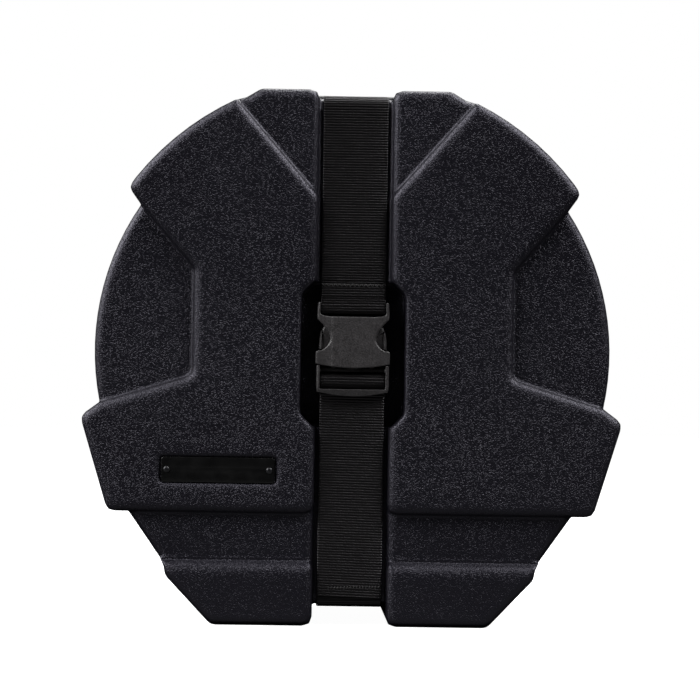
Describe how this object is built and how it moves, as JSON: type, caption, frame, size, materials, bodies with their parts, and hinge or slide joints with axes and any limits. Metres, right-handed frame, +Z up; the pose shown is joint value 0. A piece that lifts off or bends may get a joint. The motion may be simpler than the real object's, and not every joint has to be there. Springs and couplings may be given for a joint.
{
  "type": "drum case",
  "caption": "Round moulded drum case that stands on feet, with a lid that pulls off, a strap with a side release buckle, foam lining and a folding carry handle.",
  "frame": {"origin": "on the floor under the middle of the case", "axes": "+Z up, the lid's face looks along -Y, +X to the right for someone facing the lid"},
  "size_m": [0.4196, 0.23, 0.4263],
  "materials": {
    "shell": "pebbled moulded polyethylene, near black with a cool tint",
    "webbing": "crosswise ribbed black webbing",
    "buckle": "satin dark grey moulded plastic",
    "plate": "smooth black",
    "foam": "charcoal foam with a fine nap",
    "steel": "black coated steel",
    "grip": "fine grained black plastic"
  },
  "bodies": {
    "base": {"base_shell": "shell", "base_back_pad": "foam", "base_liner_left": "foam", "base_liner_right": "foam", "strap_rear": "webbing", "strap_washer_upper": "steel", "strap_washer_lower": "steel", "strap_rivet_upper": "steel", "strap_rivet_lower": "steel", "handle_bracket_left": "steel", "handle_bracket_right": "steel", "handle_pin_left": "steel", "handle_pin_right": "steel", "handle_backing_plate_left": "steel", "handle_backing_plate_right": "steel", "handle_rivet_left_inner": "steel", "handle_rivet_left_outer": "steel", "handle_rivet_right_inner": "steel", "handle_rivet_right_outer": "steel"},
    "lid": {"lid_shell": "shell", "lid_face_pad": "foam", "lid_liner_left": "foam", "lid_liner_right": "foam", "strap_front_upper": "webbing", "strap_front_lower": "webbing", "buckle_socket": "buckle", "badge_plate": "plate", "badge_pin_left": "plate", "badge_pin_right": "plate"},
    "plug": {"buckle_plug": "buckle"},
    "arm_left": {"release_arm_left": "buckle"},
    "arm_right": {"release_arm_right": "buckle"},
    "handle": {"handle_grip": "grip"}
  },
  "joints": [
    {"name": "lid_pull", "type": "slide", "parent": "base", "child": "lid", "axis": [0, -1, 0], "range_m": [0, 0.15]},
    {"name": "plug_pull", "type": "slide", "parent": "lid", "child": "plug", "axis": [0, 0, -1], "range_m": [0, 0.036], "deforming": ["release_arm_left", "release_arm_right", "strap_front_lower"]},
    {"name": "arm_left_squeeze", "type": "hinge", "parent": "plug", "child": "arm_left", "pos_m": [-0.015, -0.1045, 0.20366], "axis": [0, 1, 0], "range_deg": [0, 9], "stiffness_Nm_per_rad": 0.05},
    {"name": "arm_right_squeeze", "type": "hinge", "parent": "plug", "child": "arm_right", "pos_m": [0.015, -0.1045, 0.20366], "axis": [0, -1, 0], "range_deg": [0, 9], "stiffness_Nm_per_rad": 0.05},
    {"name": "handle_swing", "type": "hinge", "parent": "base", "child": "handle", "pos_m": [0, 0.028, 0.42076], "axis": [1, 0, 0], "range_deg": [0, 90]}
  ]
}
